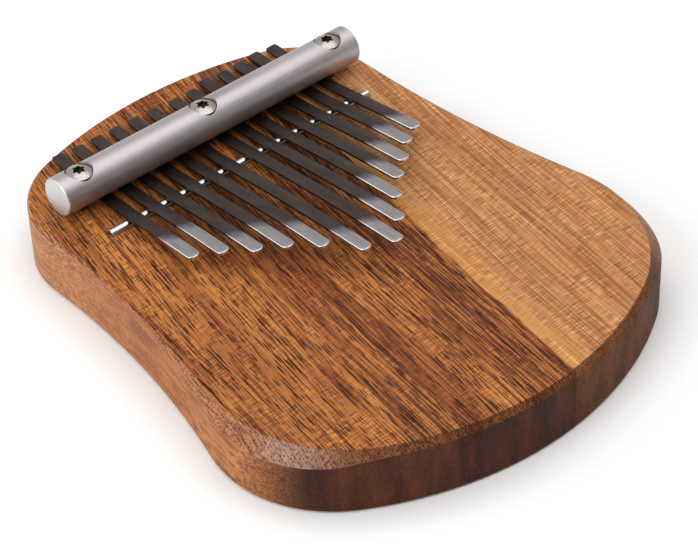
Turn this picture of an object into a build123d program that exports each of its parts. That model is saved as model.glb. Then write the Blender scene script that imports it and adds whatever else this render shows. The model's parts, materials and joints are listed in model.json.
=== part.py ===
from build123d import *
from math import asin, atan2, cos, degrees, hypot, sin, sqrt, tan
import os

# A board mbira: thirteen spring-steel tines clamped to a solid wooden board by a round bar.
# Millimetres, +Z up. The origin is on the board's underside at its centre; +Y points to the
# clamped end, -Y to the player. The tines fan out a little towards their free ends, at -Y.

# ---------------------------------------------------------------- driving dimensions
# Board: a pear-shaped outline, the same on both sides of the centreline
board_length = 183.0
board_thickness = 20.5
front_corner = (36.8, -43.2)       # centre of the round front corner on the +X side
front_corner_radius = 37.6
rear_corner = (32.0, 54.3)
rear_corner_radius = 30.0
waist_radius = 270.0
underside_edge_radius = 1.0

# Edge of the playing face: a sanded bevel, wide at the front corners and narrow at the waist
front_bevel = 1.5
rear_bevel = 2.8
bevel_front_corner = (27.0, -39.0)
bevel_front_corner_radius = 44.2
bevel_rear_corner_radius = 29.2
bevel_waist_radius = 390.0
bevel_angle = 39.0                 # from the vertical
bevel_depth_limit = 9.0            # deeper than the bevel reaches anywhere
bevel_softening = 0.6              # rounds the edge between the bevel and the face

# Clamp bar
bar_diameter = 12.0
bar_length = 111.5
bar_centre_x = 1.3
bar_y = 58.1
bar_clearance = 1.8                # between the bar and the board
bar_end_chamfer = 0.35

# Bridge rods, sunk in grooves across the board; reach is the distance from the bar to a rod
rod_diameter = 3.0
rod_end_radius = 0.4
front_rod_length = 99.2
front_rod_reach = 16.1
front_rod_sink = 1.2
rear_rod_length = 92.0
rear_rod_reach = 12.7
rear_rod_sink = 2.0

# Screws: one between the two groups of tines, one outside each group
screw_x = {"left": -46.0, "middle": 0.0, "right": 48.8}
screw_length = 25.0                # under the head
shank_diameter = 3.7
shank_tip_length = 2.5
head_diameter = 8.0
head_height = 3.1
head_rim_height = 1.9
head_depth_below_crest = 0.1
counterbore_diameter = 8.5
bar_hole_diameter = 4.3
recess_across = 3.9                # six-lobe recess, point to point
recess_depth = 1.7

# Tines: six to the left of the middle screw and seven to the right
tine_width = 4.2
tine_thickness = 1.0
middle_spacing = 8.3               # across the middle screw
left_pitch = 7.0
right_pitch = 6.7
left_count = 6
fan_distance = 1400.0              # the tines fan out from a point this far behind the bar
# Each tine's length in front of the front rod, and behind the bar, from -X to +X
free_lengths = (30.5, 35.0, 41.5, 46.5, 53.5, 63.0, 66.5, 59.5, 51.0, 44.0, 38.5, 32.5, 28.5)
tail_lengths = (22.8, 22.2, 22.1, 22.0, 21.8, 21.6, 21.0, 20.9, 22.4, 22.0, 22.1, 22.6, 21.9)
tail_corner_radius = 1.0
tip_corner_radius = 1.5
tongue_bend_radius = 700.0         # the free end arches gently down again
hinge_ahead_of_rod = 2.2           # where the free end's flexing is centred
hinge_gap = 0.35

# ---------------------------------------------------------------- derived dimensions
face_z = board_thickness
bar_radius = bar_diameter / 2
bar_z = face_z + bar_clearance + bar_radius
bar_crest_z = bar_z + bar_radius

rod_radius = rod_diameter / 2
front_rod_y = bar_y - front_rod_reach
front_rod_z = face_z + rod_radius - front_rod_sink
rear_rod_y = bar_y + rear_rod_reach
rear_rod_z = face_z + rod_radius - rear_rod_sink
rods = {
    "front_rod": (front_rod_y, front_rod_z, front_rod_length),
    "rear_rod": (rear_rod_y, rear_rod_z, rear_rod_length),
}

seat_z = bar_crest_z - head_depth_below_crest - head_height   # where the heads rest
screw_tip_z = seat_z - screw_length

# Side view of a tine: distances run from the bar towards the tail. A clamped tine bows down in
# two arcs, one to each rod, that meet level under the bar; its underside lies on both rods.
bow_bottom_z = face_z + bar_clearance - tine_thickness


def bow_to_rod(rod_reach, rod_z):
    """One side of the bow: its radius, its slope at the rod, and where it touches the rod."""
    drop = bow_bottom_z - rod_z
    radius = (rod_reach**2 + drop**2 - rod_radius**2) / (2 * (rod_radius - drop))
    slope = asin(rod_reach / (radius + rod_radius))
    touch = (rod_reach - rod_radius * sin(slope), rod_z + rod_radius * cos(slope))
    return radius, slope, touch


def beyond_rod(reach, slope, touch):
    """A point of the underside on its straight stretch beyond a rod."""
    return reach, touch[1] + (reach - touch[0]) * tan(slope)


front_bow_radius, front_slope, front_touch = bow_to_rod(front_rod_reach, front_rod_z)
rear_bow_radius, rear_slope, rear_touch = bow_to_rod(rear_rod_reach, rear_rod_z)

# The free end turns about the middle of the strip, a little ahead of the front rod
hinge_reach, hinge_under_z = beyond_rod(front_rod_reach + hinge_ahead_of_rod, front_slope, front_touch)
hinge_centre = (
    tine_thickness / 2 * sin(front_slope) - hinge_reach,
    hinge_under_z + tine_thickness / 2 * cos(front_slope),
)
root_reach = hinge_reach - (tine_thickness / 2 + hinge_gap) * cos(front_slope)
root_under_z = beyond_rod(root_reach, front_slope, front_touch)[1]

tine_x = [-middle_spacing / 2 - left_pitch * step for step in reversed(range(left_count))]
tine_x += [middle_spacing / 2 + right_pitch * step for step in range(len(free_lengths) - left_count)]

os.makedirs("parts", exist_ok=True)


# ---------------------------------------------------------------- screw shank
def shank_profile(x):
    """Half section of the shank and its pointed tip, for a screw and for the hole it fills."""
    with BuildSketch(Plane.XZ.offset(-bar_y)) as profile:
        with BuildLine():
            Polyline(
                (x, seat_z),
                (x + shank_diameter / 2, seat_z),
                (x + shank_diameter / 2, screw_tip_z + shank_tip_length),
                (x, screw_tip_z),
                close=True,
            )
        make_face()
    return profile.sketch


# ---------------------------------------------------------------- board
def apex_radius(apex, corner, corner_radius):
    """Radius of the arc through an apex on the centreline that meets a corner circle smoothly."""
    rise = abs(apex - corner[1])
    return (corner[0] ** 2 + rise**2 - corner_radius**2) / (2 * (rise - corner_radius))


def waist_centre(front, front_radius, rear, rear_radius, radius):
    """Centre of the hollow waist arc that touches both corner circles from outside."""
    along_x = rear[0] - front[0]
    along_y = rear[1] - front[1]
    between = hypot(along_x, along_y)
    to_front = radius + front_radius
    to_rear = radius + rear_radius
    foot = (to_front**2 - to_rear**2 + between**2) / (2 * between)
    height = sqrt(to_front**2 - foot**2)
    x = front[0] + (along_x * foot + along_y * height) / between
    y = front[1] + (along_y * foot - along_x * height) / between
    return x, y


def direction(start, end):
    return degrees(atan2(end[1] - start[1], end[0] - start[0]))


def pear_outline(front_y, front, front_radius, rear_y, rear, rear_radius, waist):
    """Ten tangent arcs: two ends, four corners and the waist on both sides."""
    front_end_radius = apex_radius(front_y, front, front_radius)
    rear_end_radius = apex_radius(rear_y, rear, rear_radius)
    front_end = (0, front_y + front_end_radius)
    rear_end = (0, rear_y - rear_end_radius)
    hollow = waist_centre(front, front_radius, rear, rear_radius, waist)
    front_turn = direction(front_end, front)
    front_to_waist = direction(front, hollow)
    rear_to_waist = direction(rear, hollow)
    rear_turn = direction(rear_end, rear)
    with BuildLine() as outline:
        CenterArc(front_end, front_end_radius, -90, front_turn + 90)
        CenterArc(front, front_radius, front_turn, front_to_waist - front_turn)
        CenterArc(hollow, waist, 180 + front_to_waist, rear_to_waist - front_to_waist)
        CenterArc(rear, rear_radius, rear_to_waist, rear_turn - rear_to_waist)
        CenterArc(rear_end, rear_end_radius, rear_turn, 90 - rear_turn)
        mirror(about=Plane.YZ)
    return outline.line


wall_outline = pear_outline(
    -board_length / 2,
    front_corner,
    front_corner_radius,
    board_length / 2,
    rear_corner,
    rear_corner_radius,
    waist_radius,
)
face_outline = pear_outline(
    front_bevel - board_length / 2,
    bevel_front_corner,
    bevel_front_corner_radius,
    board_length / 2 - rear_bevel,
    rear_corner,
    bevel_rear_corner_radius,
    bevel_waist_radius,
)

with BuildPart() as skirt:
    # The bevel: a sloping skirt hung from the face's own outline, on a straight-sided base
    with BuildSketch(Plane.XY.offset(face_z)):
        add(face_outline)
        make_face()
    extrude(amount=-bevel_depth_limit, taper=-bevel_angle)
    with BuildSketch():
        add(wall_outline)
        make_face()
    extrude(amount=face_z - bevel_depth_limit)

with BuildPart() as board:
    with BuildSketch():
        add(wall_outline)
        make_face()
    extrude(amount=board_thickness)
    add(skirt.part, mode=Mode.INTERSECT)
    fillet(board.edges().group_by(Axis.Z)[-1], bevel_softening)
    fillet(board.edges().group_by(Axis.Z)[0], underside_edge_radius)
    # Grooves for the two bridge rods
    for rod_y, rod_z, rod_length in rods.values():
        with BuildSketch(Plane.YZ.offset(bar_centre_x)):
            with Locations((rod_y, rod_z)):
                Circle(rod_radius)
        extrude(amount=rod_length / 2, both=True, mode=Mode.SUBTRACT)
    for x in screw_x.values():
        screw_axis = Axis((x, bar_y, 0), (0, 0, 1))
        revolve(shank_profile(x), axis=screw_axis, mode=Mode.SUBTRACT)
board.part.label = "board"
export_step(board.part, "parts/board.step")

# ---------------------------------------------------------------- clamp bar
with BuildPart() as bar:
    with BuildSketch(Plane.YZ.offset(bar_centre_x)):
        with Locations((bar_y, bar_z)):
            Circle(bar_radius)
    extrude(amount=bar_length / 2, both=True)
    end_faces = bar.faces().filter_by(GeomType.PLANE)
    chamfer(end_faces.edges(), bar_end_chamfer)
    for x in screw_x.values():
        with Locations((x, bar_y, bar_crest_z)):
            CounterBoreHole(
                radius=bar_hole_diameter / 2,
                counter_bore_radius=counterbore_diameter / 2,
                counter_bore_depth=bar_crest_z - seat_z,
                depth=bar_diameter,
            )
bar.part.label = "clamp_bar"
export_step(bar.part, "parts/clamp_bar.step")

# ---------------------------------------------------------------- bridge rods
for label, (rod_y, rod_z, rod_length) in rods.items():
    with BuildPart() as rod:
        with BuildSketch(Plane.YZ.offset(bar_centre_x)):
            with Locations((rod_y, rod_z)):
                Circle(rod_radius)
        extrude(amount=rod_length / 2, both=True)
        fillet(rod.faces().filter_by(GeomType.PLANE).edges(), rod_end_radius)
    rod.part.label = label
    export_step(rod.part, f"parts/{label}.step")

# ---------------------------------------------------------------- screws
lobe_radius = recess_across / 8
lobe_reach = recess_across / 2 - lobe_radius
for side, x in screw_x.items():
    screw_axis = Axis((x, bar_y, 0), (0, 0, 1))
    with BuildPart() as screw:
        revolve(shank_profile(x), axis=screw_axis)
        # Pan head: a short straight rim under a low dome
        with BuildSketch(Plane.XZ.offset(-bar_y)):
            with BuildLine():
                Line((x, seat_z), (x + head_diameter / 2, seat_z))
                rim_top = (x + head_diameter / 2, seat_z + head_rim_height)
                Line((x + head_diameter / 2, seat_z), rim_top)
                TangentArc((x, seat_z + head_height), rim_top, tangent=(1, 0))
                Line((x, seat_z + head_height), (x, seat_z))
            make_face()
        revolve(axis=screw_axis)
        # Six-lobe recess
        with BuildSketch(Plane.XY.offset(seat_z + head_height)):
            with Locations((x, bar_y)):
                Circle(lobe_reach)
                with PolarLocations(lobe_reach, 6):
                    Circle(lobe_radius)
        extrude(amount=-recess_depth, mode=Mode.SUBTRACT)
    screw.part.label = f"screw_{side}"
    export_step(screw.part, f"parts/screw_{side}.step")


# ---------------------------------------------------------------- tines
def side_plane(x):
    """Side view of the tine under the bar at x: its X runs to the tail and its Y upwards."""
    splay = atan2(x, fan_distance)
    return Plane(
        origin=(x, bar_y, 0),
        x_dir=(-sin(splay), cos(splay), 0),
        z_dir=(cos(splay), sin(splay), 0),
    )


def end_edges(end_face):
    """The two short edges of a tine's end."""
    return end_face.edges().sort_by(SortBy.LENGTH)[:2]


tines = zip(tine_x, free_lengths, tail_lengths)
for number, (x, free_length, tail_length) in enumerate(tines, start=1):
    # Root: over both rods and under the bar, up to the place where the free end flexes
    with BuildPart() as root:
        with BuildSketch(side_plane(x).offset(-tine_width / 2)):
            with BuildLine():
                Line(beyond_rod(tail_length, rear_slope, rear_touch), rear_touch)
                rear_bow = JernArc(
                    start=rear_touch,
                    tangent=(-cos(rear_slope), -sin(rear_slope)),
                    radius=rear_bow_radius,
                    arc_size=-degrees(rear_slope),
                )
                front_bow = JernArc(
                    start=rear_bow @ 1,
                    tangent=(-1, 0),
                    radius=front_bow_radius,
                    arc_size=-degrees(front_slope),
                )
                Line(front_bow @ 1, (-root_reach, root_under_z))
                offset(amount=tine_thickness, side=Side.RIGHT)
            make_face()
        extrude(amount=tine_width)
        fillet(end_edges(root.faces().sort_by(Axis.Y)[-1]), tail_corner_radius)
    root.part.label = f"tine_{number:02d}_root"
    export_step(root.part, f"parts/tine_{number:02d}_root.step")

    # Tongue: the free end, round where it turns about the hinge line
    with BuildPart() as tongue:
        with BuildSketch(side_plane(x).offset(-tine_width / 2)):
            with BuildLine():
                JernArc(
                    start=(-hinge_reach, hinge_under_z),
                    tangent=(-cos(front_slope), sin(front_slope)),
                    radius=tongue_bend_radius,
                    arc_size=degrees((free_length - hinge_ahead_of_rod) / tongue_bend_radius),
                )
                offset(amount=tine_thickness, side=Side.RIGHT)
            make_face()
            with Locations(hinge_centre):
                Circle(tine_thickness / 2)
        extrude(amount=tine_width)
        fillet(end_edges(tongue.faces().sort_by(Axis.Y)[0]), tip_corner_radius)
    tongue.part.label = f"tine_{number:02d}_tongue"
    export_step(tongue.part, f"parts/tine_{number:02d}_tongue.step")
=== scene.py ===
import json
from math import asin, atan2, cos, hypot, pi, radians, sin, sqrt

import bpy
import numpy as np
from mathutils import Matrix, Vector


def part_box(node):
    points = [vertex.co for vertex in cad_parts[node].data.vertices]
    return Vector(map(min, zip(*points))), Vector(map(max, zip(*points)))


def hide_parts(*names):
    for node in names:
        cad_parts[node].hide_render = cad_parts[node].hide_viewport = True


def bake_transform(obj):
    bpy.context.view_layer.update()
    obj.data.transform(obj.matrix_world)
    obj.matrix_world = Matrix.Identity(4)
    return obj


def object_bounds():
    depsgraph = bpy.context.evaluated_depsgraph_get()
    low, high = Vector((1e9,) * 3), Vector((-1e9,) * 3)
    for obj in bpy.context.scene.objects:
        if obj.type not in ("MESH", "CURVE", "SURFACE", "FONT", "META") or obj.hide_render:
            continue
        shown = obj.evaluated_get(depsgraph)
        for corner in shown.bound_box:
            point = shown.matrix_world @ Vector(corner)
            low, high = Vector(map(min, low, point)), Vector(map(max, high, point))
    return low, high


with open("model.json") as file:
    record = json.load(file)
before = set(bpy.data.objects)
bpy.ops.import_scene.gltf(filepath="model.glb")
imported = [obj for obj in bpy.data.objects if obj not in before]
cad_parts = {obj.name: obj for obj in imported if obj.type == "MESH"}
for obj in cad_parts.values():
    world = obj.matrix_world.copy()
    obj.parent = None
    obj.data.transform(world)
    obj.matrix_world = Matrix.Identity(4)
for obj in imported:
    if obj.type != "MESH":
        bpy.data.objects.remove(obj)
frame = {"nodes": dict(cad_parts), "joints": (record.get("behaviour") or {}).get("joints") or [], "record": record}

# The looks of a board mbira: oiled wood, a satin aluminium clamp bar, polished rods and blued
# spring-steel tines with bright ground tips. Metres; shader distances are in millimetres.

MM = 0.001

cad_low, cad_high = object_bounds()

bar_low, bar_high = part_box("clamp_bar")
bar_y = (bar_low.y + bar_high.y) / 2


# ---------------------------------------------------------------- building shader nodes
class Shader:
    """A material's node graph. Its methods add nodes, and nearly all return an output socket."""

    def __init__(self, name):
        self.material = bpy.data.materials.new(name)
        self.material.use_nodes = True
        self.tree = self.material.node_tree
        self.tree.nodes.clear()

    def node(self, kind, inputs, **settings):
        node = self.tree.nodes.new("ShaderNode" + kind)
        for setting, value in settings.items():
            setattr(node, setting, value)
        for name, value in inputs.items():
            if isinstance(value, bpy.types.NodeSocket):
                self.tree.links.new(value, node.inputs[name])
            else:
                node.inputs[name].default_value = value
        return node

    def add(self, kind, inputs, output=0, **settings):
        return self.node(kind, inputs, **settings).outputs[output]

    def place(self):
        """The surface point, in millimetres of the shared frame."""
        point = self.add("TexCoord", {}, "Object")
        return self.add("VectorMath", {0: point, 3: 1 / MM}, operation="SCALE")

    def facing(self):
        """The three parts of the surface's direction, each from -1 to 1."""
        return self.split(self.add("TexCoord", {}, "Normal"))

    def mark(self, name):
        """A value that the mesh holds at each vertex."""
        return self.add("Attribute", {}, "Fac", attribute_name=name)

    def split(self, vector):
        return self.node("SeparateXYZ", {"Vector": vector}).outputs[:3]

    def join(self, x, y, z):
        return self.add("CombineXYZ", {"X": x, "Y": y, "Z": z})

    def stretched(self, point, x, y, z):
        """The point scaled so that one unit is x, y and z millimetres."""
        return self.add("VectorMath", {0: point, 1: (1 / x, 1 / y, 1 / z)}, operation="MULTIPLY")

    def noise(self, point, x, y, z, detail=2.0, roughness=0.5):
        """Smooth noise from 0 to 1, with features about x, y and z millimetres long."""
        where = self.stretched(point, x, y, z)
        return self.add(
            "TexNoise", {"Vector": where, "Scale": 1.0, "Detail": detail, "Roughness": roughness}
        )

    def dashes(self, point, x, y, reach):
        """Scattered strokes, 1 inside and 0 outside: one in each cell of x by y millimetres.

        They have the cell's proportions, and the largest reaches this many cells from its middle.
        """
        where = self.stretched(point, x, y, 1)
        cell = self.node("TexVoronoi", {"Vector": where, "Scale": 1.0}, voronoi_dimensions="2D")
        chance = self.split(cell.outputs["Color"])[0]
        size = self.product(self.remap(chance, 0, 1, 0.35, 1), reach)
        inside = self.math("SUBTRACT", size, cell.outputs["Distance"])
        return self.remap(inside, -0.02, 0.05)

    def math(self, operation, a, b=0.0):
        return self.add("Math", {0: a, 1: b}, operation=operation)

    def total(self, value, *others):
        for other in others:
            value = self.math("ADD", value, other)
        return value

    def product(self, value, *others):
        for other in others:
            value = self.math("MULTIPLY", value, other)
        return value

    def remap(self, value, low, high, to_low=0.0, to_high=1.0, curve="LINEAR"):
        """A straight line or a curve between two values, level beyond them."""
        return self.add(
            "MapRange",
            {"Value": value, 1: low, 2: high, 3: to_low, 4: to_high},
            interpolation_type=curve,
        )

    def ramp(self, value, stops):
        """Straight lines through (position, brightness) stops, with positions in any units."""
        first, last = stops[0][0], stops[-1][0]
        node = self.node("ValToRGB", {"Fac": self.remap(value, first, last)})
        elements = node.color_ramp.elements
        while len(elements) < len(stops):
            elements.new(0.5)
        for element, (position, grey) in zip(elements, stops):
            element.position = (position - first) / (last - first)
            element.color = (grey, grey, grey, 1)
        return node.outputs[0]

    def mix(self, share, a, b, blend="MIX"):
        return self.add(
            "Mix", {0: share, 6: a, 7: b}, 2, data_type="RGBA", blend_type=blend, clamp_factor=True
        )

    def brightened(self, base, factor):
        """A colour times a factor, which also darkens it where it is under 1."""
        return self.mix(1.0, base, self.join(factor, factor, factor), blend="MULTIPLY")

    def bump(self, height, distance, strength):
        return self.add("Bump", {"Height": height, "Distance": distance, "Strength": strength})

    def surface(self, **inputs):
        """Ends the graph with a Principled surface; base_color names its Base Color input."""
        named = {name.replace("_", " ").title(): value for name, value in inputs.items()}
        named = {name.replace("Ior", "IOR"): value for name, value in named.items()}
        shaded = self.add("BsdfPrincipled", named)
        self.node("OutputMaterial", {"Surface": shaded})
        return self.material


def colour(red, green, blue):
    """A colour given as it looks on a screen, from 0 to 255, in the renderer's linear light."""
    linear = [
        channel / 12.92 if channel <= 0.04045 else ((channel + 0.055) / 1.055) ** 2.4
        for channel in (red / 255, green / 255, blue / 255)
    ]
    return (*linear, 1)


# ---------------------------------------------------------------- wood
fibre_lean = 0.16                     # sideways per unit of length, in the middle of the board
lean_change = 0.027                   # less at the player's end and more at the clamped end
figure_reach = 90                     # from the middle to either end, in mm

heart_dark = colour(100, 50, 28)
heart_golden = colour(188, 119, 58)
heart_red = colour(136, 70, 36)
heart_notch = colour(84, 42, 22)
heart_end_shade_dark = colour(40, 20, 13)
heart_end_shade_light = colour(98, 50, 29)
sap_brown = colour(149, 91, 51)
sap_pale = colour(190, 135, 86)
sap_golden = colour(196, 136, 68)
sap_thread = colour(240, 198, 150)
sap_notch = colour(150, 84, 44)
sap_end_shade_dark = colour(58, 28, 13)
sap_end_shade_light = colour(142, 82, 40)
pore_shade = colour(44, 19, 10)
bevel_pore_shade = colour(36, 15, 8)
wall_painted_sheen = colour(192, 142, 108)


class Timber(Shader):
    """The wood, with all that its figure is laid out by; the grain leans a little from Y."""

    def __init__(self):
        super().__init__("oiled_wood")
        self.here = self.place()
        self.facing_x, self.facing_y, self.facing_z = self.facing()
        self.grit = self.noise(self.here, 0.42, 0.42, 0.42, detail=1, roughness=0.7)
        self.lay_out_grain()
        self.lay_out_sapwood()
        self.tell_faces_apart()

    def lay_out_grain(self):
        """Distances across the grain and along it, and noise drawn out into strands and hairs.

        The fibres lean more towards +Y, and wander a little. The growth lines stand upright in
        the board, so they change slowly with Z.
        """
        x, self.y, z = self.split(self.here)
        leans = (fibre_lean - lean_change, fibre_lean + lean_change)
        lean = self.remap(self.y, -figure_reach, figure_reach, *leans)
        self.straight = self.math("SUBTRACT", x, self.product(lean, self.y))
        wander = self.remap(self.noise(self.here, 30, 130, 30, detail=1), 0, 1, -3, 3)
        across = self.total(self.straight, wander)
        self.grain = self.join(across, self.y, self.product(z, 0.4))
        # Across the grain again, but streaks that follow this one have frayed sides
        fray = self.noise(self.grain, 1.6, 50, 1.6, detail=4, roughness=0.6)
        self.frayed = self.total(across, self.remap(fray, 0.25, 0.75, -3, 3))
        self.strand = self.noise(self.grain, 2.5, 60, 2.5, detail=3)
        self.hair = self.noise(self.grain, 0.4, 18, 0.4, detail=0)

    def lay_out_sapwood(self):
        """Shares from 0 to 1: sapwood, its golden and pale bands, and heartwood beside it.

        The heartwood ends at a leaning line with a ragged edge.
        """
        boundary = self.remap(self.y, -figure_reach, 30, 20.1, 22.2)
        past_heart = self.math("SUBTRACT", self.straight, boundary)
        ragged = self.noise(self.grain, 1.8, 12, 1.8, detail=4, roughness=0.6)
        ragged = self.remap(ragged, 0.2, 0.8, -0.8, 0.8)
        self.sapwood = self.remap(self.total(past_heart, ragged), -0.25, 0.25)
        self.golden = self.ramp(past_heart, [(-1, 0.8), (2, 0.7), (8, 0), (9, 0)])
        self.beside = self.ramp(
            past_heart, [(-45, 0.0), (-30, 0.2), (-16, 0.9), (0, 1), (1, 0), (2, 0)]
        )
        # Hairlines, light and dark, are strongest there
        contrast = self.remap(self.beside, 0, 1, 0.5, 0.75)
        self.fine = self.product(self.remap(self.hair, 0.3, 0.7, -1, 1), contrast)
        band = self.ramp(
            self.frayed,
            [
                (14, 0.8), (26, 0.85), (32, 0.5), (39, 0.45), (44, 0.85), (50, 0.4), (60, 0.65), (80, 0.5),
            ],
        )
        self.band = self.total(band, self.remap(self.strand, 0.3, 0.7, -0.2, 0.2), self.fine)

    def tell_faces_apart(self):
        """What is wall, and how clearly pores and ripples show: best on the playing face."""
        self.level = self.math("ABSOLUTE", self.facing_z)
        self.wall = self.remap(self.level, 0.25, 0.6, 1, 0)
        self.clear = self.remap(self.level, 0.2, 0.95, 0.1, 1)

    def heartwood_colour(self):
        """Broad streaks from dark (0) to golden (1), with redder stretches."""
        streak = self.ramp(
            self.frayed,
            [
                (-72, 0.6), (-50, 0.7), (-38, 0.8), (-32, 0.45), (-24, 0.5), (-16, 0.05), (-11, 0.45),
                (-4, 0.8), (2, 0.45), (10, 0.25), (17, 0.35), (72, 0.6),
            ],
        )
        tone = self.total(streak, self.remap(self.strand, 0.3, 0.7, -0.25, 0.25), self.fine)
        red = self.remap(self.noise(self.grain, 9, 45, 9, detail=3), 0.42, 0.62, 0, 0.5)
        return self.mix(red, self.mix(tone, heart_dark, heart_golden), heart_red)

    def sapwood_colour(self):
        """Pale bands, a golden edge beside the heartwood, and thin bright lines."""
        sap = self.mix(self.golden, self.mix(self.band, sap_brown, sap_pale), sap_golden)
        thread = self.remap(self.noise(self.grain, 0.36, 60, 0.36, detail=0), 0.7, 0.76)
        return self.mix(self.product(thread, 0.5), sap, sap_thread)

    def ripples(self):
        """Short fine lines across the grain (-1 to 1) and notches (0 to 1), both in patches."""
        patches = self.product(
            self.remap(self.noise(self.here, 5, 12, 5, detail=3), 0.4, 0.6, 0.3, 1),
            self.remap(self.golden, 0, 0.8, 1, 0.7),
            self.remap(self.sapwood, 0, 1, 1, 0.72),
            self.clear,
        )
        ripple = self.remap(self.noise(self.grain, 4, 0.4, 4, detail=0), 0.33, 0.67, -1, 1)
        notch = self.dashes(self.grain, 4, 0.7, 0.36)
        notch = self.product(notch, patches, self.remap(self.band, 0.2, 0.9, 0.8, 0.4))
        return self.product(ripple, patches), notch

    def open_pores(self):
        """Short dashes along the grain, and longer lines that crowd beside the sapwood."""
        crowd = self.remap(self.noise(self.grain, 4, 40, 4, detail=3), 0.35, 0.65, 0.7, 1.2)
        short = self.dashes(self.grain, 0.8, 9, self.product(crowd, 0.28))
        long = self.dashes(self.grain, 1.1, 30, self.product(crowd, 0.23))
        crowded = self.dashes(self.grain, 0.6, 26, self.product(self.beside, 0.32))
        pore = self.math("MAXIMUM", short, self.math("MAXIMUM", long, crowded))
        return self.product(pore, self.product(self.remap(self.sapwood, 0, 1, 0.95, 0.15), self.clear))

    def painted_wall_sheen_and_speckle(self, wood):
        """The walls are painted paler, a painted sheen that stands in for the pale floor's reflection, most of all
        at the clamped end, and faintly speckled.
        """
        # Painted sheen: a paler colour laid over the walls
        pale = self.product(self.wall, self.remap(self.y, 0, 60, 0.22, 0.5))
        wood = self.mix(pale, wood, wall_painted_sheen)
        speckle = self.product(self.remap(self.grit, 0.3, 0.7, -0.35, 0.35), self.wall)
        return self.brightened(wood, self.total(speckle, 1.0))

    def end_grain_and_painted_shade(self, wood):
        """Darker end grain, the sapwood's most and the bevel's least: partly the end grain's own colour, partly
        painted shade on walls that face away from the lamps.

        It is where the leaning fibres meet the surface, and it is dark in upright bands.
        """
        ends = self.total(self.facing_y, self.product(self.facing_x, fibre_lean))
        end_grain_facing = self.total(self.math("ABSOLUTE", ends), self.product(self.sapwood, 0.25))
        shade_depth = self.math(
            "MAXIMUM", self.remap(self.wall, 0, 1, 0.64, 0.98), self.product(self.sapwood, 0.85)
        )
        upright = self.noise(self.here, 9, 60, 50, detail=5, roughness=0.62)
        upright = self.remap(upright, 0.35, 0.65, 0.02, 0.75)
        upright = self.total(upright, self.remap(self.grit, 0.3, 0.7, -0.3, 0.3))
        # Painted shade, partly real end grain: darker colours for the walls that face away from the lamps
        shaded_end_grain = self.mix(upright, heart_end_shade_dark, heart_end_shade_light)
        shaded_sap_end_grain = self.mix(upright, sap_end_shade_dark, sap_end_shade_light)
        shaded_end_grain = self.mix(self.product(self.sapwood, 0.5), shaded_end_grain, shaded_sap_end_grain)
        return self.mix(self.product(self.remap(end_grain_facing, 0.25, 0.75), shade_depth), wood, shaded_end_grain)

    def bevel_dots(self):
        """Open pores are dots on the bevel."""
        bevel = self.ramp(self.level, [(0.4, 0), (0.6, 0.75), (0.9, 0.75), (0.98, 0)])
        return self.product(self.dashes(self.here, 0.7, 0.85, 0.32), bevel)

    def rubbed_bevel(self):
        """The bevel is rubbed to a shine on the -X side."""
        bevel = self.math("SUBTRACT", self.remap(self.facing_z, 0.7, 0.95, 1, 0), self.wall)
        return self.product(bevel, self.remap(self.facing_x, -0.6, -0.2, 1, 0))


def oiled_wood():
    """Dark heartwood, with pale sapwood on the +X side."""
    s = Timber()
    wood = s.mix(s.sapwood, s.heartwood_colour(), s.sapwood_colour())
    ripple, notch = s.ripples()
    wood = s.brightened(wood, s.total(s.product(ripple, 0.58), 1.0))
    wood = s.mix(notch, wood, s.mix(s.sapwood, heart_notch, sap_notch))
    pore = s.open_pores()
    wood = s.mix(pore, wood, pore_shade)
    # Painted sheen on the walls, then painted shade together with the darker end grain
    wood = s.end_grain_and_painted_shade(s.painted_wall_sheen_and_speckle(wood))
    dot = s.bevel_dots()
    wood = s.mix(dot, wood, bevel_pore_shade)
    dull = s.total(
        s.remap(s.hair, 0.3, 0.7, 0.52, 0.44), s.product(pore, 0.25), s.product(s.wall, 0.15)
    )
    height = s.math("SUBTRACT", s.product(ripple, 0.25), pore)
    return s.surface(
        base_color=wood,
        roughness=dull,
        coat_weight=s.math("SUBTRACT", s.rubbed_bevel(), dot),
        coat_roughness=0.3,
        normal=s.bump(height, distance=0.05 * MM, strength=0.9),
        specular_ior_level=0.15,
    )


# ---------------------------------------------------------------- metals
def satin_aluminium():
    """Drawn bar: very fine lines along X, a few faint smudges, and lighter ends, partly their turned finish and
    partly painted reflection.
    """
    dark, light, turned_end_and_reflection = colour(174, 167, 169), colour(197, 190, 192), colour(214, 212, 212)
    s = Shader("satin_aluminium")
    here = s.place()
    drawn = s.noise(here, 60, 0.12, 0.12, detail=3, roughness=0.6)
    cloud = s.noise(here, 14, 8, 8, detail=4)
    shade = s.total(s.remap(drawn, 0.3, 0.7), s.remap(cloud, 0.3, 0.7, -0.25, 0.25))
    # Painted reflection, partly the turned finish: the end faces get a lighter colour
    end = s.remap(s.math("ABSOLUTE", s.facing()[0]), 0.5, 0.9)
    base = s.mix(end, s.mix(shade, dark, light), turned_end_and_reflection)
    dull = s.total(s.remap(cloud, 0.3, 0.7, 0.42, 0.5), s.remap(drawn, 0.3, 0.7, -0.05, 0.05))
    relief = s.bump(drawn, distance=0.012 * MM, strength=0.7)
    return s.surface(base_color=base, metallic=1.0, roughness=dull, normal=relief)


def polished_steel():
    """Bright rod with faint rings round it."""
    dark, light = colour(182, 182, 183), colour(206, 206, 206)
    s = Shader("polished_rod_steel")
    here = s.place()
    turned = s.noise(here, 0.25, 6, 6, detail=2)
    cloud = s.noise(here, 5, 3, 3, detail=3)
    dull = s.remap(cloud, 0.3, 0.7, 0.1, 0.18)
    relief = s.bump(turned, distance=0.004 * MM, strength=0.5)
    return s.surface(
        base_color=s.mix(cloud, dark, light), metallic=1.0, roughness=dull, normal=relief
    )


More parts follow.
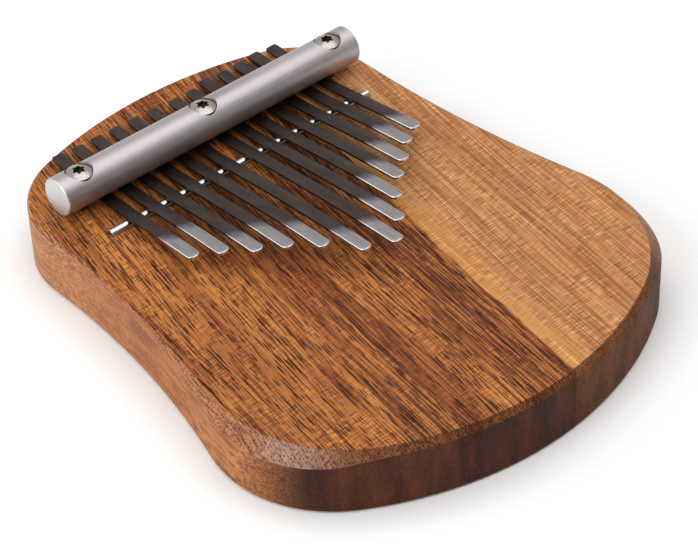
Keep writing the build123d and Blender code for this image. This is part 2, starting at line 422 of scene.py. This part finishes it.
def screw_steel():
    """Tumbled stainless steel, with painted shade darkening the drive recess and the steep faces."""
    dark, light, recess_shade_colour = colour(156, 146, 136), colour(190, 182, 174), colour(112, 98, 86)
    recess_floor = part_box("screw_left")[1].z / MM - 1.55
    s = Shader("screw_stainless")
    here = s.place()
    grit = s.noise(here, 0.5, 0.5, 0.5, detail=4, roughness=0.6)
    steep = s.remap(s.math("ABSOLUTE", s.facing()[2]), 0.2, 0.5, 1, 0)
    deep = s.remap(s.split(here)[2], recess_floor, recess_floor + 0.3, 1, 0)
    base = s.mix(s.remap(grit, 0.35, 0.7), light, dark)
    # Painted shade: the recess floor and the steep faces get a darker colour
    base = s.mix(s.math("MAXIMUM", steep, deep), base, recess_shade_colour)
    dull = s.remap(grit, 0.3, 0.7, 0.24, 0.36)
    relief = s.bump(grit, distance=0.01 * MM, strength=0.6)
    return s.surface(base_color=base, metallic=1.0, roughness=dull, normal=relief)


def blued_steel():
    """Dark blued strip, ground bright at the tip; the mesh marks where, in mm."""
    s = Shader("blued_spring_steel")
    here = s.place()

    # The ground area ends in a slanting soft fade through a violet temper colour
    uneven = s.remap(s.noise(here, 1.5, 6, 3, detail=3), 0, 1, -2.2, 2.2)
    slant = s.product(s.mark("across"), 0.5)
    past_ground = s.math(
        "SUBTRACT", s.total(s.mark("from_tip"), uneven, slant), s.mark("ground_length")
    )
    ground = s.remap(past_ground, -2.6, 2.6, 1, 0, curve="SMOOTHSTEP")
    temper = s.product(ground, s.remap(ground, 0, 1, 1.6, 0))
    # Painted highlight: a near-white, smoother base on the rounded edges of the ground tip
    edge_painted_highlight = s.product(s.mark("rounded"), ground)

    rolled = s.noise(here, 0.16, 30, 0.4, detail=3, roughness=0.6)
    cloud = s.noise(here, 3, 9, 3, detail=4)
    blued = s.mix(s.remap(cloud, 0.3, 0.7), colour(60, 50, 47), colour(82, 71, 67))
    blued = s.mix(s.remap(rolled, 0.35, 0.75, 0, 0.5), blued, colour(96, 86, 82))
    bright = s.mix(s.remap(rolled, 0.3, 0.7), colour(138, 133, 135), colour(178, 172, 174))
    base = s.mix(temper, s.mix(ground, blued, bright), colour(108, 98, 128))
    base = s.mix(edge_painted_highlight, base, colour(246, 244, 244))
    dull = s.math("SUBTRACT", s.remap(rolled, 0.3, 0.7, 0.34, 0.46), s.product(edge_painted_highlight, 0.12))
    relief = s.bump(rolled, distance=0.01 * MM, strength=0.6)
    return s.surface(base_color=base, metallic=1.0, roughness=dull, normal=relief)


materials = {
    "board_wood": oiled_wood(),
    "bar_aluminium": satin_aluminium(),
    "rod_steel": polished_steel(),
    "screw_steel": screw_steel(),
    "tine_steel": blued_steel(),
}
for subpart in frame["record"]["subparts"]:
    node = frame["nodes"][subpart["node"]]
    node.data.materials.clear()
    node.data.materials.append(materials[subpart["material_slot"]])


# ---------------------------------------------------------------- tines
edge_radius = 0.25 * MM               # along every edge of a strip
tail_corner = 1.0 * MM                # rounding of the two corners at each end
tip_corner = 1.8 * MM
station_step = 1.2 * MM
line_points = 1200                    # along a tine's middle line
sharp_angle = radians(50)             # a steeper edge isn't shaded smooth
# How far each tip is ground bright, from -X to +X, in mm
ground_lengths = (12.5, 18.0, 10.5, 14.5, 14.5, 11.5, 13.0, 13.5, 14.0, 10.5, 12.5, 12.0, 9.5)


def extent(node, direction):
    """Lowest and highest reach of a CAD node along a direction."""
    reaches = [vertex.co.dot(direction) for vertex in frame["nodes"][node].data.vertices]
    return min(reaches), max(reaches)


def tailward_of(joint):
    """The level direction along a tine towards its tail."""
    return Vector((-joint["axis"][1], joint["axis"][0], 0))


def rounding(distance, radius):
    """How far a quarter circle has drawn in, at a distance from where it ends."""
    missing = max(radius - distance, 0)
    return radius - sqrt(radius**2 - missing**2)


def end_stations(corner_radius):
    """Distances from a strip's end, close together where its edge and its corners turn."""
    # All of the edge's quarter circle, then the outer half of the corner's
    edge = [edge_radius * (1 - cos(turn * pi / 8)) for turn in range(5)]
    corner = [corner_radius * (1 - cos(turn * pi / 16)) for turn in range(4, 9)]
    return edge + corner


def strip_stations(length):
    """Distances from the tail at which a strip has a cross-section."""
    at_tail = end_stations(tail_corner)
    at_tip = [length - distance for distance in reversed(end_stations(tip_corner))]
    between = np.linspace(at_tail[-1], at_tip[0], int(length / station_step))[1:-1]
    return at_tail + list(between) + at_tip


def section(half_width, half_thickness):
    """Outline of the strip's cross-section: (sideways, up, 1 on the round of an edge) points."""
    points = []
    for quarter, (side, level) in enumerate(((1, 1), (-1, 1), (-1, -1), (1, -1))):
        centre = (side * (half_width - edge_radius), level * (half_thickness - edge_radius))
        for step, rounded in enumerate((0, 1, 1, 0)):
            turn = (quarter + step / 3) * pi / 2
            aside = centre[0] + edge_radius * cos(turn)
            above = centre[1] + edge_radius * sin(turn)
            points.append((aside, above, rounded))
    return points


def tube_faces(rings, around):
    """Faces of a closed tube through rings of points, with a flat cap at each end."""
    faces = [list(range(around))[::-1]]
    for ring in range(rings - 1):
        near, far = ring * around, (ring + 1) * around
        for corner in range(around):
            following = (corner + 1) % around
            faces.append((near + corner, near + following, far + following, far + corner))
    faces.append(range((rings - 1) * around, rings * around))
    return faces


def bow_to_rod(rod, thickness):
    """Radius of the arc from under the bar to a rod, along the strip's middle, and its slope."""
    rod_low, rod_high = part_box(rod)
    rod_radius = (rod_high.z - rod_low.z) / 2
    reach = abs(bar_y - (rod_low.y + rod_high.y) / 2)
    drop = bar_low.z - thickness - (rod_low.z + rod_high.z) / 2
    underside_radius = (reach**2 + drop**2 - rod_radius**2) / (2 * (rod_radius - drop))
    return underside_radius - thickness / 2, asin(reach / (underside_radius + rod_radius))


def clamped_line(joint, thickness):
    """The middle line of a tine at rest, from its tail to its tip.

    Returns distances along the strip, reach towards the tail from the bar, heights and slopes.
    """
    root, tongue = joint["child"] + "_root", joint["child"] + "_tongue"
    hinge = Vector(joint["pos_m"])
    tailward = tailward_of(joint)
    bar_line = hinge.dot(tailward) + (bar_y - hinge.y) / tailward.y
    tail_reach = extent(root, tailward)[1] - bar_line
    tip_reach = bar_line - extent(tongue, tailward)[0]
    hinge_reach = bar_line - hinge.dot(tailward)

    # Between the rods the strip is two arcs that meet level under the bar
    rear_radius, rear_slope = bow_to_rod("rear_rod", thickness)
    front_radius, front_slope = bow_to_rod("front_rod", thickness)
    straight_tail = (tail_reach - rear_radius * sin(rear_slope)) / cos(rear_slope)
    straight_front = (hinge_reach - front_radius * sin(front_slope)) / cos(front_slope)
    tail_run = rear_radius * rear_slope + straight_tail
    hinge_run = front_radius * front_slope + straight_front

    # Beyond the hinge the free end arches down again: its chord dips half the bend
    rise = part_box(tongue)[1].z - thickness / 2 - hinge.z
    ahead = tip_reach - hinge_reach
    bend = 2 * (front_slope - atan2(rise, ahead))
    tongue_radius = hypot(rise, ahead) / (2 * sin(bend / 2))

    run = np.linspace(-tail_run, hinge_run + tongue_radius * bend, line_points)
    behind = np.maximum(run / rear_radius, -rear_slope)
    before = np.minimum(run / front_radius, front_slope)
    slopes = np.where(run < 0, behind, before) - np.maximum(run - hinge_run, 0) / tongue_radius
    steps = np.diff(run)
    middle = (slopes[1:] + slopes[:-1]) / 2
    reach = tail_reach - np.concatenate([[0], np.cumsum(steps * np.cos(middle))])
    height = np.concatenate([[0], np.cumsum(steps * np.sin(middle))])
    height += hinge.z - np.interp(hinge_run, run, height)
    return run, reach, height, slopes


def strip_shape(joint, ground_length):
    """Mesh of a whole tine, with the marks that its shader reads."""
    root = joint["child"] + "_root"
    hinge = Vector(joint["pos_m"])
    sideways = Vector(joint["axis"])
    tailward = tailward_of(joint)
    side_low, side_high = extent(root, sideways)
    half_width = (side_high - side_low) / 2
    thickness = bar_low.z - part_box(root)[0].z
    run, reach, height, slopes = clamped_line(joint, thickness)
    under_bar = hinge + tailward * ((bar_y - hinge.y) / tailward.y)
    length = run[-1] - run[0]
    stations = strip_stations(length)

    vertices = []
    marks = {"from_tip": [], "across": [], "rounded": []}
    for station in stations:
        to_end = min(station, length - station)
        drawn_in = rounding(to_end, edge_radius)
        narrowed = rounding(to_end, tail_corner if station < length / 2 else tip_corner)
        here = run[0] + station
        slope = np.interp(here, run, slopes)
        centre = under_bar + tailward * np.interp(here, run, reach)
        centre.z = np.interp(here, run, height)
        up = Vector((0, 0, cos(slope))) + tailward * sin(slope)
        outline = section(half_width - narrowed - drawn_in, thickness / 2 - drawn_in)
        for aside, above, rounded in outline:
            vertices.append(centre + sideways * aside + up * above)
            marks["from_tip"].append((length - station) / MM)
            marks["across"].append(aside / MM)
            marks["rounded"].append(1 if drawn_in > 0 else rounded)
    marks["ground_length"] = [ground_length] * len(vertices)

    around = len(vertices) // len(stations)
    mesh = bpy.data.meshes.new(joint["child"])
    mesh.from_pydata(vertices, [], tube_faces(len(stations), around))
    mesh.shade_smooth()
    mesh.set_sharp_from_angle(angle=sharp_angle)
    for name, values in marks.items():
        mesh.attributes.new(name, "FLOAT", "POINT").data.foreach_set("value", values)
    mesh.materials.append(materials["tine_steel"])
    return mesh


def tine_strip(joint, ground_length):
    """One tine as a single strip of steel, which stands for its clamped root and free tongue."""
    root, tongue = joint["child"] + "_root", joint["child"] + "_tongue"
    strip = bpy.data.objects.new(joint["child"] + "_strip", strip_shape(joint, ground_length))
    bpy.context.scene.collection.objects.link(strip)
    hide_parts(root, tongue)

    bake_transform(strip)


for joint, ground_length in zip(frame["joints"], ground_lengths):
    tine_strip(joint, ground_length)


# ---------------------------------------------------------------- floor, light and camera
floor_size = 6
floor_gap = 0.2 * MM                  # keeps the floor off the board's underside
floor_grey = (0.92, 0.92, 0.92, 1)
softbox_distance = 1.4
sky_white = (1.0, 0.99, 0.98, 1)


def towards(azimuth, elevation):
    """A direction from the object, counted like the camera's: azimuth 0 is the player's side."""
    turn, rise = radians(azimuth), radians(elevation)
    return Vector((sin(turn) * cos(rise), -cos(turn) * cos(rise), sin(rise)))


def stage_floor():
    bpy.ops.mesh.primitive_plane_add(size=floor_size, location=(0, 0, cad_low.z - floor_gap))
    floor = bpy.context.object
    floor.name = "floor"
    s = Shader("pale_floor")
    floor.data.materials.append(s.surface(base_color=floor_grey, roughness=0.9))


def softbox(name, azimuth, elevation, size, power):
    """A square lamp that looks at the object."""
    lamp = bpy.data.lights.new(name, "AREA")
    lamp.shape = "SQUARE"
    lamp.size = size
    lamp.energy = power
    away = towards(azimuth, elevation)
    holder = bpy.data.objects.new(name, lamp)
    holder.location = away * softbox_distance
    holder.rotation_mode = "QUATERNION"
    holder.rotation_quaternion = (-away).to_track_quat("-Z", "Y")
    bpy.context.scene.collection.objects.link(holder)


def studio_light():
    """Soft light from all round, bright from above and the far side and dim from low in front."""
    brightest_side = (0, 0.7, 1)
    dim, bright = 0.3, 0.72
    world = bpy.data.worlds.new("studio")
    world.use_nodes = True
    tree = world.node_tree
    sight = tree.nodes.new("ShaderNodeTexCoord").outputs["Generated"]
    alignment = tree.nodes.new("ShaderNodeVectorMath")
    alignment.operation = "DOT_PRODUCT"
    alignment.inputs[1].default_value = brightest_side
    strength = tree.nodes.new("ShaderNodeMapRange")
    limits = {"From Min": -0.1, "From Max": 0.8, "To Min": dim, "To Max": bright}
    for name, value in limits.items():
        strength.inputs[name].default_value = value
    background = tree.nodes["Background"]
    background.inputs["Color"].default_value = sky_white
    tree.links.new(sight, alignment.inputs[0])
    tree.links.new(alignment.outputs["Value"], strength.inputs["Value"])
    tree.links.new(strength.outputs["Result"], background.inputs["Strength"])
    bpy.context.scene.world = world


def camera():
    """A long lens, well back, that looks down at the player's left corner of the board."""
    azimuth, elevation, roll = -39.8, 39.9, -2.26
    distance = 0.7836
    target = Vector((0.0069, 0.0024, cad_low.z))
    lens = bpy.data.cameras.new("camera")
    lens.sensor_width = 36
    lens.lens = 137.4
    lens.shift_x = 0.0026
    lens.shift_y = -0.0036
    holder = bpy.data.objects.new("camera", lens)
    back = towards(azimuth, elevation)
    holder.location = target + back * distance
    holder.rotation_mode = "QUATERNION"
    level = (-back).to_track_quat("-Z", "Y")
    holder.rotation_quaternion = level @ Matrix.Rotation(radians(roll), 3, "Z").to_quaternion()
    bpy.context.scene.collection.objects.link(holder)
    bpy.context.scene.camera = holder


stage_floor()
softbox("overhead", azimuth=70, elevation=80, size=1.6, power=11)
softbox("left", azimuth=-80, elevation=33, size=0.8, power=7)
softbox("rim", azimuth=-132, elevation=28, size=0.7, power=2)
studio_light()
bpy.context.scene.view_settings.view_transform = "Standard"
camera()
